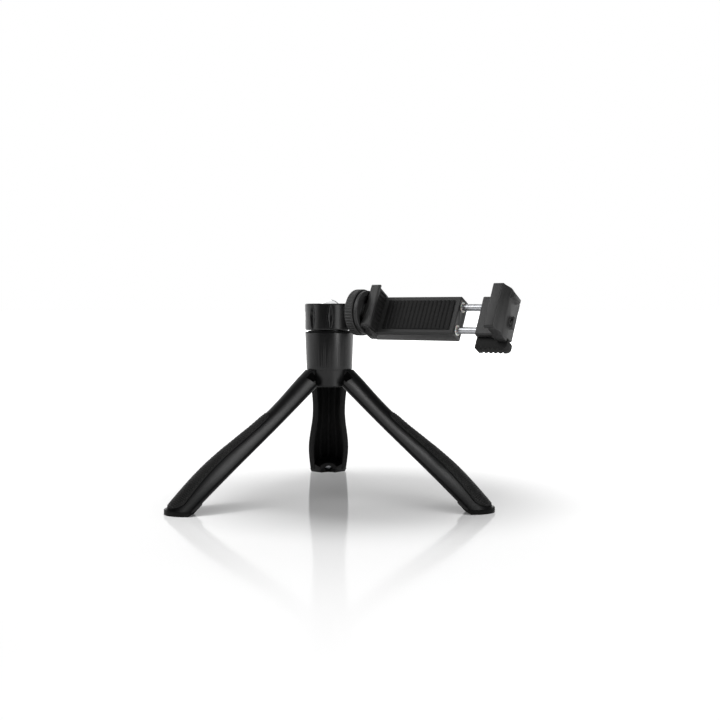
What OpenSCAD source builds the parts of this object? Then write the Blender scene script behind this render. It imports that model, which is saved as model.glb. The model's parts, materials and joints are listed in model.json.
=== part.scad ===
// Folding table tripod with a ball head and a spring-loaded clamp.
// Axes: X to the right, Y away from the front, Z up. The floor is at Z = 0.

/* [Legs] */
// Length of a leg from its hinge to the floor, along the leg
leg_len = 106.5; // [90:0.5:130]
// Angle of an open leg from the vertical
open_a = 49.8; // [40:0.2:56]
// Distance of each hinge pin from the tripod's axis
hinge_r = 7.7; // [7.2:0.1:8.2]
// Outer radius of the folded handle at its top
top_r = 12.1; // [11.6:0.1:12.3]
// Outer radius at the neck of the handle
neck_r = 10.7; // [10.2:0.1:12]
// Outer radius at the swell of the handle
bulge_r = 14; // [12:0.1:16]
// Outer radius at the foot end
end_r = 12.2; // [11:0.1:13]
// Distance of the neck below the hub's rim
neck_s = 34; // [26:0.5:40]
// Distance of the swell below the hub's rim
bulge_s = 82; // [70:0.5:90]
// Wall thickness of a leg shell
leg_wall = 1.8; // [1.4:0.1:2.4]
// Depth of the shell's two side walls, measured inwards
flange_d = 3.6; // [3:0.1:4.4]
// Width of the knuckle that carries a leg
knuckle_w = 8; // [7:0.1:8.6]
// Radius of the knuckle round its pin
knuckle_r = 3.3; // [2.8:0.05:3.4]

/* [Grips] */
// Distance of a grip's narrow end below the rim
grip_top_s = 37; // [34:0.5:48]
// How far a grip reaches past the leg's length, along the handle
grip_past = 1.5; // [-4:0.5:2.5]
// Radius of a grip's narrow end
grip_top_r = 3.9; // [3:0.1:5]
// Radius of a grip's wide end
grip_end_r = 6.9; // [5.5:0.1:7.6]
// Depth of the grip's seat in the shell
grip_seat = 0.9; // [0.6:0.05:1.1]
// How far a grip stands proud of the shell
grip_proud = 0.35; // [0.2:0.05:0.6]
// Width of the line left open round a grip
grip_line = 0.25; // [0.1:0.05:0.4]

/* [Feet] */
// Thickness of a foot's sole
sole_t = 2.2; // [1.6:0.1:3]
// How far a sole stands out past the shell
sole_lip = 0.4; // [0.2:0.05:0.6]
// Length of the foot's plug inside the shell
plug_len = 17; // [14:0.5:22]
// Depth of the foot from the shell's outside, measured inwards
foot_d = 7.4; // [6:0.1:8]
// Head radius of the foot's screw
foot_screw_r = 2; // [1.6:0.1:2.4]

/* [Hub] */
// Height of the hub's drum, rim to top
drum_h = 20.1; // [17:0.1:26]
// Radius of the drum at its top
drum_r = 13.1; // [12.7:0.1:14.5]
// Radius of the drum at its rim
rim_r = 12.3; // [12.2:0.1:12.9]
// Height of the three tongues below the rim
tongue_h = 9.1; // [8:0.1:9.6]
// Radius of the tongues
tongue_r = 11.9; // [11.6:0.1:12]
// Height of the rim above the hinge pins
rim_rise = 0.85; // [0.6:0.05:1.1]
// Diameter of a hinge pin
pin_d = 2.5; // [2:0.1:3]
// Length of a hinge pin
pin_len = 15; // [13:0.5:16]

/* [Ball head] */
// Height of the locking collar
collar_h = 14.2; // [13.4:0.1:16]
// Gap that shows between the drum and the collar
collar_gap = 0.95; // [0.5:0.05:1.2]
// Height of the ball's centre above the collar's lower edge
ball_rise = 9.4; // [9.2:0.1:9.8]
// Radius of the ball
ball_r = 7; // [6.6:0.1:7.2]
// Radius of the stud's neck
neck_stem_r = 2.5; // [2:0.1:3]
// Number of scallops spaced round the collar
scallops = 8; // [6:1:10]
// Width of a scallop
scallop_w = 3.8; // [3:0.1:4.6]
// Compass direction of the stud, from X towards Y
head_a = -35.4; // [-80:0.2:80]

/* [Thumb wheel] */
// Radius of the knurled rim
wheel_r = 12.2; // [10.5:0.1:13]
// Thickness of the knurled rim
wheel_rim_t = 4.6; // [3.6:0.1:5.2]
// Number of knurls
knurls = 48; // [36:1:60]
// Distance of the wheel's inner face from the ball's centre
wheel_x = 17.8; // [17.4:0.1:18.2]
// Diameter of the stud's thread
thread_d = 6.35; // [6:0.05:6.4]

/* [Clamp] */
// Distance of the fixed jaw's outer side from the ball's centre
jaw_x = 25.6; // [25.4:0.1:28]
// Lean of the clamp back from the vertical
lean_a = 27.5; // [0:0.5:40]
// Gap between the two jaws, as shown
grip_gap = 67; // [64:0.5:75]
// Travel of the moving jaw towards the fixed one
travel_in = 12; // [8:0.5:12]
// Travel of the moving jaw away from the fixed one
travel_out = 15; // [10:0.5:15]
// Height of the jaws
jaw_h = 25.2; // [22:0.2:30]
// Height of the jaws' middle above the stud
jaw_rise = 1.6; // [0:0.1:2.5]
// Wall of the fixed jaw between its outer side and its pad
jaw_wall = 3.5; // [3.2:0.1:4]
// Thickness of the rubber pads
pad_t = 1; // [0.7:0.1:1.3]
// Depth of the slot between the lips and the spine
slot_d = 7; // [6:0.1:10]
// Width of a lip's front face
lip_w = 5.2; // [4.8:0.1:6]
// Thickness of a lip
lip_t = 3; // [2.4:0.1:3.6]
// How far a lip reaches over the gap
lip_over = 0.85; // [0.5:0.05:2]
// Distance of the lips' inner faces ahead of the stud
face_y = 2.2; // [1.5:0.1:3]
// Height of the spine that joins the jaws
spine_h = 21.6; // [20:0.2:22]
// Thickness of the spine behind the back pad
spine_t = 9; // [8.6:0.1:11]
// Diameter of the two pull rods
rod_d = 3.5; // [3:0.1:4]
// Wall of the spine outside each rod's bush
rod_edge = 1.55; // [1.3:0.05:2]
// Depth of the moving jaw's side behind its lip
cheek_d = 13; // [12:0.2:14]
// Flare of the moving jaw past its lip
flare_w = 2.5; // [1.6:0.1:3]
// Turns of each return spring
spring_turns = 10; // [8:1:10]
// Wire diameter of the return springs
wire_d = 0.5; // [0.4:0.05:0.55]

/* [Place] */
// Tripod axis from the middle of the footprint, along X
axis_x = -5.9; // [-20:0.1:20]
// Tripod axis from the middle of the footprint, along Y
axis_y = -14.3; // [-30:0.1:30]

/* [Hidden] */

$fn = 64;

// Colours of the finishes
black_gloss = [0.06, 0.06, 0.065];
black_matte = [0.09, 0.09, 0.095];
rubber_black = [0.045, 0.045, 0.045];
steel = [0.62, 0.63, 0.65];
bright = [0.82, 0.83, 0.85];
brass_c = [0.72, 0.58, 0.3];
nylon = [0.85, 0.85, 0.82];

// Clearances and overruns
run_gap = 0.05;    // radial gap of a pin or shaft that turns or slides
side_gap = 0.2;    // gap between moving flat faces
seat_gap = 0.05;   // gap between a piece and the seat that holds it
over = 1;          // how far a cut runs past a face
seam_a = 0.75;     // angle left free at each side of a folded leg

// Directions of the legs
sector_a = 120;
back_a = 90;
left_a = back_a + sector_a;
right_a = back_a + 2 * sector_a;

// Heights
hinge_z = leg_len * cos(open_a);
rim_z = hinge_z + rim_rise;
drum_z = rim_z + drum_h;
collar_z = drum_z + collar_gap;
collar_top = collar_z + collar_h;
ball_z = collar_z + ball_rise;
tongue_z = rim_z - tongue_h;

// Hub details
drum_edge = 0.6;
tongue_edge = 0.6;
slot_w = knuckle_w + 2 * side_gap;
pocket_r = knuckle_r + side_gap;
bolt_r = 2;
bolt_head_r = 3.6;
bolt_head_h = 2.4;
spigot_r = 8.6;
spigot_len = 7;
bolt_reach = spigot_len - 2 * bolt_r;
barrel_r = 10;
cup_wall = 1.3;
// The cup ends below the stud's neck, so that the stud can lie level
cup_top = ball_z - neck_stem_r - side_gap * 2;
barrel_top = cup_top - side_gap;

// Leg details
rib_a = 4;
side_rib_a = 3;
side_rib_at = 27;
flange_a = 8;
shoulder_gap = 0.6;
shoulder_s = tongue_h + shoulder_gap;
root_len = 4;
root_in_r = hinge_r - knuckle_r;
root_a = 20;
root_s = shoulder_s + root_len;
leg_steps = 30;
grip_steps = 20;
sole_steps = 16;
leg_reach = leg_len + end_r;
grip_end_s = leg_len + grip_past;
foot_s = leg_len * 1.055 - plug_len;
screw_s = foot_s + foot_screw_r * 2.6;
boss_r = foot_screw_r * 1.1;
boss_in = foot_d * 0.62;
screw_shaft_r = foot_screw_r * 0.5;
screw_head_t = foot_screw_r * 0.6;

// Collar details
collar_edge = 0.9;
scallop_cut = 1.1;
scallop_margin = 0.75;
scallop_phase = 271.8;
skip_a = 20;
thread_bore_r = barrel_r + run_gap * 2;
throat_r = ball_r + 0.4;
notch_w = neck_stem_r + side_gap * 2;

// Stud details
flange_r = 4.8;
flange_t = 1.6;
flange_edge = 0.3;
flange_x = drum_r + 0.5;
thread_r = thread_d / 2;
stud_end = jaw_x + jaw_wall - side_gap;

// Wheel details
wheel_edge = 0.5;
knurl_share = 0.36;
wheel_bore_r = thread_r + run_gap;
groove_w = 0.5;
groove_d = 0.9;
second_r = wheel_r - 0.7;
washer_t = 0.5;
washer_r = 6.6;
wheel_end = jaw_x - washer_t;
dish_r = second_r - 2.3;
dish_d = 1.5;
wheel_hub_r = 5;

// Clamp planes: X along the stud, Y towards the clamp's back, Z up the clamp
wall_in_x = jaw_x + jaw_wall;
gap_x0 = wall_in_x + pad_t;
gap_x1 = gap_x0 + grip_gap;
front_y = -(face_y + lip_t);
back_y = slot_d - face_y;
back_pad_t = 0.7;
spine_y0 = back_y + back_pad_t;
spine_y1 = spine_y0 + spine_t;
cover_t = 1.5;
tray_wall = 1.5;
cavity_y1 = spine_y1 - cover_t;
rod_y = (spine_y0 + tray_wall + cavity_y1) / 2;
rod_r = rod_d / 2;
bush_wall = 1;
spine_z0 = jaw_rise - spine_h / 2;
spine_z1 = jaw_rise + spine_h / 2;
rod_pitch = spine_h - 2 * (rod_r + bush_wall + rod_edge);
rod_zs = [jaw_rise - rod_pitch / 2, jaw_rise + rod_pitch / 2];
jaw_z0 = jaw_rise - jaw_h / 2;
jaw_z1 = jaw_rise + jaw_h / 2;
end_wall = 7.5;
stop_r = 2.7;
stop_t = 1.6;
left_block = 2;
carriage_gap = 0.5;
carriage_len = gap_x1 + lip_w + flare_w - lip_over - travel_in - carriage_gap - jaw_x;
spring_spare = 1.9;
spine_len = jaw_wall + left_block + travel_in + side_gap + stop_t + travel_out + spring_turns * wire_d
    + spring_spare + end_wall;
spine_x1 = jaw_x + spine_len;
carriage_x0 = spine_x1 + travel_in + carriage_gap;
cheek_x1 = gap_x1 + lip_w - lip_over + flare_w;
cavity_x0 = wall_in_x + left_block;
cavity_x1 = spine_x1 - end_wall;
stop_x = cavity_x0 + travel_in + side_gap;
rod_seat = 3.4;
rod_end_x = cheek_x1 - rod_seat;
bush_r = rod_r + bush_wall;
bush_bore_r = rod_r + run_gap;
insert_r = 4.6;
insert_lip_r = 5.4;
insert_lip_t = 0.8;
cover_screw_r = 0.9;
cover_head_r = 1.8;
cover_head_t = 0.8;
cover_screw_len = 5;
screw_places = [[cavity_x0 - left_block * 1.35, rod_zs[0]], [cavity_x0 - left_block * 1.35, rod_zs[1]],
                [(cavity_x1 + spine_x1) / 2, jaw_rise]];
spring_in_r = rod_r + 0.3;
spring_mean_r = spring_in_r + wire_d / 2;
spring_x0 = stop_x + stop_t;
spring_len = cavity_x1 - spring_x0;
bevel = 0.8;
pull_h = 5.9;
pull_pitch = 2.6;
pull_notch_r = 0.75;
cheek_gap = 0.67;
pull_y0 = front_y + cheek_d + cheek_gap;
pull_round = 2.4;
lug_out = 2.2;

// Grooves of the rubber pads
groove_pitch = 2.4;
groove_h = 0.8;
groove_in = 0.35;

// A smooth step from 0 to 1 as t runs from 0 to 1
function ease(t) = (1 - cos(180 * min(1, max(0, t)))) / 2;

// Outer radius of the folded handle, a distance s below the rim
function handle_r(s) =
    s < neck_s ? top_r + (neck_r - top_r) * ease(s / neck_s)
    : s < bulge_s ? neck_r + (bulge_r - neck_r) * ease((s - neck_s) / (bulge_s - neck_s))
    : bulge_r + (end_r - bulge_r) * ease((s - bulge_s) / (leg_reach - bulge_s));

// Cut of the handle's outline between two depths below its surface
function band_points(deep, proud, s0, s1) = [
    for (i = [0:leg_steps]) let (s = s0 + (s1 - s0) * i / leg_steps) [handle_r(s) + proud, rim_z - s],
    for (i = [leg_steps:-1:0]) let (s = s0 + (s1 - s0) * i / leg_steps)
        [max(0, handle_r(s) - deep), rim_z - s]];

// Part of the folded handle's wall, between two angles and two depths
module band(a0, a1, deep, proud, s0, s1) {
    rotate([0, 0, a0])
        rotate_extrude(angle = a1 - a0, $fn = 96) polygon(band_points(deep, proud, s0, s1));
}

// Moves a piece from the tripod's own axis to its place
module at_axis() {
    translate([axis_x, axis_y, 0]) children();
}

// Opens a leg that is drawn folded along X and turns it to its direction
module at_leg(a) {
    at_axis() rotate([0, 0, a])
        translate([hinge_r, 0, hinge_z]) rotate([0, -open_a, 0])
            translate([-hinge_r, 0, -hinge_z]) children();
}

// Everything above a level of the open leg, given in the folded leg's own place
module above_open(z) {
    translate([hinge_r, 0, hinge_z]) rotate([0, open_a, 0])
        translate([-leg_reach, -leg_reach, z - hinge_z]) cube([3 * leg_reach, 2 * leg_reach, leg_reach]);
}

// Everything below a level of the open leg
module below_open(z) {
    translate([hinge_r, 0, hinge_z]) rotate([0, open_a, 0])
        translate([-leg_reach, -leg_reach, z - hinge_z - leg_reach])
            cube([3 * leg_reach, 2 * leg_reach, leg_reach]);
}

// Places a piece on the stud, with X along the stud
module at_stud() {
    at_axis() translate([0, 0, ball_z]) rotate([0, 0, head_a]) children();
}

// Places a piece of the clamp, which leans back
module at_clamp() {
    at_stud() rotate([-lean_a, 0, 0]) children();
}

// A cylinder along X, from x0 to x1
module rod_x(r, x0, x1) {
    translate([x0, 0, 0]) rotate([0, 90, 0]) cylinder(r = r, h = x1 - x0);
}

// A cylinder along Y, from y0 to y1
module rod_y_dir(r, y0, y1) {
    translate([0, y0, 0]) rotate([-90, 0, 0]) cylinder(r = r, h = y1 - y0);
}

// A bar along X with four chamfered edges
module bar(x0, x1, y0, y1, z0, z1, cut) {
    translate([x0, 0, 0]) rotate([90, 0, 90]) linear_extrude(height = x1 - x0)
        polygon([[y0 + cut, z0], [y1 - cut, z0], [y1, z0 + cut], [y1, z1 - cut],
                 [y1 - cut, z1], [y0 + cut, z1], [y0, z1 - cut], [y0, z0 + cut]]);
}

// Turns a profile of radius and X into a round piece about X
module turned_x() {
    rotate([0, 90, 0]) rotate_extrude() children();
}

// Hub
module hub_body() {
    color(black_gloss) at_axis() difference() {
        union() {
            rotate_extrude($fn = 96) {
                polygon([[0, tongue_z], [tongue_r - tongue_edge, tongue_z], [tongue_r, tongue_z + tongue_edge],
                         [tongue_r, rim_z], [rim_r, rim_z], [drum_r, drum_z - drum_edge],
                         [drum_r - drum_edge, drum_z], [0, drum_z]]);
                translate([drum_r - drum_edge, drum_z - drum_edge]) circle(drum_edge, $fn = 32);
            }
        }
        for (a = [left_a, right_a, back_a]) rotate([0, 0, a]) hinge_room();
        translate([0, 0, tongue_z - over]) cylinder(r = bolt_r + run_gap, h = drum_z);
        translate([0, 0, tongue_z - over]) cylinder(r = bolt_head_r + run_gap, h = bolt_head_h + over);
        translate([0, 0, drum_z - spigot_len]) cylinder(r = spigot_r + seat_gap, h = spigot_len + over);
    }
}

// Room for one leg's knuckle, and the bore for its pin
module hinge_room() {
    translate([root_in_r - side_gap * 2, -slot_w / 2, tongue_z - over])
        cube([drum_r, slot_w, hinge_z - tongue_z + over]);
    translate([hinge_r, -slot_w / 2, hinge_z - over]) cube([drum_r, slot_w, rim_rise + over]);
    translate([hinge_r, 0, hinge_z]) rod_y_dir(pocket_r, -slot_w / 2, slot_w / 2);
    translate([hinge_r, 0, hinge_z]) rod_y_dir(pin_d / 2, -pin_len / 2, pin_len / 2);
}

module hinge_pins() {
    color(steel) at_axis() for (a = [left_a, right_a, back_a]) rotate([0, 0, a])
        translate([hinge_r, 0, hinge_z]) rod_y_dir(pin_d / 2, -pin_len / 2, pin_len / 2);
}

module center_bolt() {
    color(steel) at_axis() {
        translate([0, 0, tongue_z]) cylinder(r = bolt_head_r, h = bolt_head_h);
        translate([0, 0, tongue_z]) cylinder(r = bolt_r, h = drum_z - spigot_len + bolt_reach - tongue_z);
    }
}

// Threaded barrel that carries the ball's cup and the collar
module ball_socket() {
    color(black_matte) at_axis() difference() {
        union() {
            translate([0, 0, drum_z - spigot_len]) cylinder(r = spigot_r, h = spigot_len);
            translate([0, 0, drum_z]) cylinder(r = barrel_r, h = barrel_top - drum_z);
        }
        translate([0, 0, ball_z]) sphere(r = ball_r + run_gap + cup_wall, $fn = 96);
        translate([0, 0, drum_z - spigot_len - over]) cylinder(r = bolt_r, h = bolt_reach + over);
    }
}

// Nylon cup under the ball
module friction_cup() {
    color(nylon) at_axis() intersection() {
        difference() {
            translate([0, 0, ball_z]) sphere(r = ball_r + run_gap + cup_wall - seat_gap, $fn = 96);
            translate([0, 0, ball_z]) sphere(r = ball_r + run_gap, $fn = 96);
        }
        translate([0, 0, ball_z - ball_r - 2 * cup_wall])
            cylinder(r = barrel_r, h = cup_top - ball_z + ball_r + 2 * cup_wall);
    }
}

// Leg shell, a third of the folded handle, open on its inner side
module leg_shell(a) {
    half = sector_a / 2 - seam_a;
    color(black_gloss) at_leg(a) difference() {
        union() {
            difference() {
                union() {
                    difference() {
                        band(-half, half, flange_d, 0, shoulder_s, leg_reach);
                        channel(rib_a, side_rib_at - side_rib_a, shoulder_s - over);
                        channel(side_rib_at + side_rib_a, half - flange_a, shoulder_s - over);
                        channel(0, half - flange_a, foot_s);
                    }
                    leg_root();
                    screw_boss();
                }
                above_open(rim_z - side_gap);
            }
            translate([hinge_r, 0, hinge_z]) rod_y_dir(knuckle_r, -knuckle_w / 2, knuckle_w / 2);
        }
        translate([hinge_r, 0, hinge_z]) rod_y_dir(pin_d / 2 + run_gap, -knuckle_w, knuckle_w);
        below_open(sole_t);
        grip_room(grip_line, grip_seat, over);
        translate([0, 0, rim_z - screw_s]) rod_x(screw_shaft_r, 0, handle_r(screw_s) - leg_wall + side_gap);
    }
}

// Channels inside the shell, the same at both sides of its middle
module channel(a0, a1, s0) {
    if (a0 > 0) for (m = [0, 1]) mirror([0, m, 0])
        band(a0, a1, flange_d + over, -leg_wall, s0, leg_reach + over);
    else band(-a1, a1, flange_d + over, -leg_wall, s0, leg_reach + over);
}

// The knuckle's web, which tapers down into the shell
module leg_root() {
    intersection() {
        band(-sector_a / 2, sector_a / 2, top_r, -seat_gap, 0, root_s + over);
        translate([0, knuckle_w / 2, 0]) rotate([90, 0, 0]) linear_extrude(height = knuckle_w)
            polygon([[hinge_r - knuckle_r * cos(root_a), hinge_z - knuckle_r * sin(root_a)],
                     [top_r - flange_d, rim_z - root_s], [top_r + over, rim_z - root_s],
                     [top_r + over, hinge_z], [hinge_r, hinge_z]]);
    }
}

// Boss that the foot's screw runs into
module screw_boss() {
    translate([0, 0, rim_z - screw_s])
        rod_x(boss_r, handle_r(screw_s) - boss_in, handle_r(screw_s) - leg_wall / 2);
}

// Outline of a grip: two round ends and the tangents between them
function grip_points(gap) = let (r0 = grip_top_r + gap, r1 = grip_end_r + gap,
        s0 = grip_top_s + grip_top_r, s1 = grip_end_s - grip_end_r, g = asin((r1 - r0) / (s1 - s0)))
    [for (i = [0:grip_steps]) let (t = g + (180 - 2 * g) * i / grip_steps)
         [r0 * cos(t), r0 * sin(t) - s0],
     for (i = [0:grip_steps]) let (t = 180 - g + (180 + 2 * g) * i / grip_steps)
         [r1 * cos(t), r1 * sin(t) - s1]];

// Space of a grip between two depths
module grip_room(gap, deep, proud) {
    intersection() {
        band(-sector_a / 2, sector_a / 2, deep, proud, grip_top_s - over, grip_end_s + over);
        translate([0, 0, rim_z]) rotate([90, 0, 90]) linear_extrude(height = bulge_r + over)
            polygon(grip_points(gap));
    }
}

// Rubber grip let into the leg's outer face
module leg_grip(a) {
    color(rubber_black) at_leg(a) difference() {
        grip_room(0, grip_seat - seat_gap, grip_proud);
        below_open(sole_t);
    }
}

// Depth below the rim at which a line down the leg, at angle t, meets the sole's top
function sole_s(t, d, n) = n == 0 ? leg_len : let (r = handle_r(sole_s(t, d, n - 1)) + d)
    rim_rise + (hinge_z - sole_t + (r * cos(t) - hinge_r) * sin(open_a)) / cos(open_a);

// Where that line meets the sole's top, seen from above
function sole_point(t, d) = let (s = sole_s(t, d, 4), r = handle_r(s) + d)
    [hinge_r + (r * cos(t) - hinge_r) * cos(open_a) + (s - rim_rise) * sin(open_a), r * sin(t)];

// A folded leg's share of the space about the handle's axis
module leg_sector(half) {
    translate([0, 0, rim_z - 2 * leg_reach]) linear_extrude(height = 2 * leg_reach)
        polygon([[0, 0], [2 * bulge_r, -2 * bulge_r * tan(half)], [2 * bulge_r, 2 * bulge_r * tan(half)]]);
}

// Rubber foot: a plug inside the shell and a flat sole under it
module leg_foot(a) {
    half = sector_a / 2 - seam_a;
    color(rubber_black) {
        at_leg(a) difference() {
            band(-half, half, foot_d, 0, foot_s, leg_reach);
            band(-half - over, half + over, leg_wall + seat_gap, over, foot_s - over, leg_reach + over);
            for (m = [0, 1]) mirror([0, m, 0]) band(half - flange_a - seat_gap, half + over,
                flange_d + seat_gap, over, foot_s - over, leg_reach + over);
            below_open(sole_t / 2);
            translate([0, 0, rim_z - screw_s])
                rod_x(boss_r + seat_gap, handle_r(screw_s) - boss_in - seat_gap, handle_r(screw_s));
            translate([0, 0, rim_z - screw_s]) rod_x(screw_shaft_r, 0, handle_r(screw_s));
            translate([0, 0, rim_z - screw_s])
                rod_x(foot_screw_r + seat_gap, 0, handle_r(screw_s) - foot_d + screw_head_t);
        }
        difference() {
            intersection() {
                at_axis() rotate([0, 0, a]) linear_extrude(height = sole_t)
                    polygon([for (i = [0:sole_steps]) sole_point(half * (2 * i / sole_steps - 1), sole_lip),
                             for (i = [sole_steps:-1:0]) sole_point(half * (2 * i / sole_steps - 1), -foot_d)]);
                at_leg(a) leg_sector(half);
            }
            at_leg(a) translate([0, 0, rim_z - screw_s])
                rod_x(foot_screw_r + seat_gap, 0, handle_r(screw_s) - foot_d + screw_head_t);
        }
    }
}

// Screw that holds the foot in the shell
module foot_screw(a) {
    color(steel) at_leg(a) translate([0, 0, rim_z - screw_s]) {
        rod_x(foot_screw_r, handle_r(screw_s) - foot_d, handle_r(screw_s) - foot_d + screw_head_t);
        rod_x(screw_shaft_r, handle_r(screw_s) - foot_d, handle_r(screw_s) - leg_wall);
    }
}

// Locking collar: scalloped outside, a notch for the stud on one side
module locking_collar() {
    color(black_gloss) at_axis() difference() {
        rotate_extrude($fn = 96) {
            translate([0, collar_z]) square([drum_r - collar_edge, collar_h]);
            translate([0, collar_z + collar_edge]) square([drum_r, collar_h - 2 * collar_edge]);
            for (z = [collar_z + collar_edge, collar_top - collar_edge])
                translate([drum_r - collar_edge, z]) circle(collar_edge, $fn = 32);
        }
        translate([0, 0, collar_z - over])
            cylinder(r = thread_bore_r, h = cup_top + side_gap - collar_z + over);
        translate([0, 0, collar_z]) cylinder(r = throat_r, h = ball_rise);
        translate([0, 0, ball_z]) sphere(r = ball_r + run_gap, $fn = 96);
        rotate([0, 0, head_a]) {
            translate([0, 0, ball_z]) rod_x(notch_w, 0, drum_r + over);
            translate([0, -notch_w, ball_z]) cube([drum_r + over, 2 * notch_w, collar_h]);
        }
        for (i = [0:scallops - 1]) let (a = scallop_phase + i * 360 / scallops)
            if (abs(((a - head_a) % 360 + 540) % 360 - 180) > skip_a) rotate([0, 0, a]) scallop();
    }
}

// Spindle that cuts one lens-shaped scallop
module scallop() {
    high = collar_h / 2 - scallop_margin;
    fat = (scallop_w * scallop_w / 4 + scallop_cut * scallop_cut) / (2 * scallop_cut);
    arc_r = (high * high + fat * fat) / (2 * fat);
    translate([drum_r + fat - scallop_cut, 0, collar_z + collar_h / 2]) rotate_extrude($fn = 48)
        intersection() {
            translate([fat - arc_r, 0]) circle(arc_r, $fn = 128);
            translate([0, -high]) square([fat, 2 * high]);
        }
}

// Ball, neck, flange and threaded end in one piece
module ball_stud() {
    color(bright) at_stud() {
        rotate([0, 90, 0]) sphere(r = ball_r, $fn = 96);
        turned_x() polygon([[0, ball_r / 2], [neck_stem_r, ball_r / 2], [neck_stem_r, flange_x],
                            [flange_r - flange_edge, flange_x], [flange_r, flange_x + flange_edge],
                            [flange_r, flange_x + flange_t - flange_edge],
                            [flange_r - flange_edge, flange_x + flange_t], [thread_r, flange_x + flange_t],
                            [thread_r, stud_end - flange_edge], [thread_r - flange_edge, stud_end],
                            [0, stud_end]]);
    }
}

// Thumb wheel: knurled rim, groove, second ring, dished face and hub
module thumb_wheel() {
    rim_x1 = wheel_x + wheel_rim_t;
    color(black_matte) at_stud() difference() {
        turned_x() {
            translate([wheel_bore_r, wheel_x + wheel_edge])
                square([wheel_r - wheel_bore_r, wheel_rim_t - 2 * wheel_edge]);
            translate([wheel_bore_r, wheel_x]) square([wheel_r - wheel_edge - wheel_bore_r, wheel_rim_t]);
            for (x = [wheel_x + wheel_edge, rim_x1 - wheel_edge])
                translate([wheel_r - wheel_edge, x]) circle(wheel_edge, $fn = 32);
            translate([wheel_bore_r, rim_x1]) square([second_r - groove_d - wheel_bore_r, groove_w]);
            translate([wheel_bore_r, rim_x1 + groove_w])
                square([second_r - wheel_bore_r - wheel_edge, wheel_end - rim_x1 - groove_w]);
            translate([second_r - wheel_edge, rim_x1 + groove_w + wheel_edge])
                circle(wheel_edge, $fn = 32);
            translate([second_r - 2 * wheel_edge, rim_x1 + groove_w + wheel_edge])
                square([2 * wheel_edge, wheel_end - rim_x1 - groove_w - 2 * wheel_edge]);
            translate([second_r - wheel_edge, wheel_end - wheel_edge]) circle(wheel_edge, $fn = 32);
        }
        turned_x() translate([wheel_hub_r, wheel_end - dish_d]) square([dish_r - wheel_hub_r, dish_d + over]);
        for (i = [0:knurls - 1]) rotate([i * 360 / knurls, 0, 0]) translate([0, 0, wheel_r + knurl_r() / 2])
            rod_x(knurl_r(), wheel_x - over, rim_x1 + groove_w / 2);
    }
}

// Radius of the groove between two knurls
function knurl_r() = knurl_share * 2 * PI * wheel_r / knurls;

// Rubber washer between the wheel and the fixed jaw
module wheel_washer() {
    color(rubber_black) at_stud() difference() {
        rod_x(wheel_hub_r, wheel_end, jaw_x - side_gap / 2);
        rod_x(wheel_bore_r + seat_gap, wheel_end - over, jaw_x + over);
    }
}

// Outline of a jaw in X and Y, with its inner wall at X = 0 and its lip in front
module jaw_outline(out, flare) {
    lip_x0 = -lip_over;
    lip_x1 = lip_w - lip_over;
    polygon([[lip_x0, front_y + bevel / 2], [lip_x0 + bevel / 2, front_y], [lip_x1 - bevel / 2, front_y],
             [lip_x1, front_y + bevel / 2], [lip_x1 + flare * 0.1, front_y + lip_t * 0.5],
             [lip_x1 + flare * 0.25, front_y + lip_t * 0.95], [lip_x1 + flare * 0.6, front_y + lip_t * 1.45],
             [lip_x1 + flare * 0.9, front_y + lip_t * 1.85], [lip_x1 + flare, front_y + lip_t * 2.3],
             [out, front_y + cheek_d - bevel], [out - bevel, front_y + cheek_d],
             [pad_t, front_y + cheek_d], [pad_t, -face_y - pad_t], [lip_x0, -face_y - pad_t]]);
}

// Side outline of a jaw in Y and Z: the back reaches a little lower than the lip
module jaw_side() {
    drop = jaw_h * 0.08;
    polygon([[front_y, jaw_z0 + drop / 2 + bevel], [front_y + bevel, jaw_z0 + drop / 2],
             [front_y + cheek_d * 0.35, jaw_z0 + drop / 2], [front_y + cheek_d * 0.62, jaw_z0 - drop / 3],
             [front_y + cheek_d, jaw_z0 - drop / 3], [front_y + cheek_d, jaw_z1 - drop / 3],
             [front_y + cheek_d * 0.3, jaw_z1], [front_y + bevel, jaw_z1], [front_y, jaw_z1 - bevel]]);
}

// Jaw solid with its inner wall at X = 0
module jaw_solid(out, flare) {
    intersection() {
        translate([0, 0, jaw_z0 - over]) linear_extrude(height = jaw_h + 2 * over) jaw_outline(out, flare);
        translate([-lip_w, 0, 0]) rotate([90, 0, 90]) linear_extrude(height = 3 * lip_w + flare) jaw_side();
    }
}

// Rubber lining of a jaw: on its wall and behind its lip
module pad_solid() {
    z0 = jaw_z0 + bevel * 2;
    z1 = jaw_z1 - bevel * 2;
    difference() {
        translate([0, 0, z0]) linear_extrude(height = z1 - z0)
            polygon([[-lip_over, -face_y - pad_t], [pad_t, -face_y - pad_t], [pad_t, back_y],
                     [0, back_y], [0, -face_y], [-lip_over, -face_y]]);
        for (z = [z0 + groove_pitch / 2 : groove_pitch : z1 - groove_pitch / 2])
            translate([-over, -face_y + groove_h, z]) cube([over + groove_in, slot_d, groove_h]);
    }
}

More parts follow.
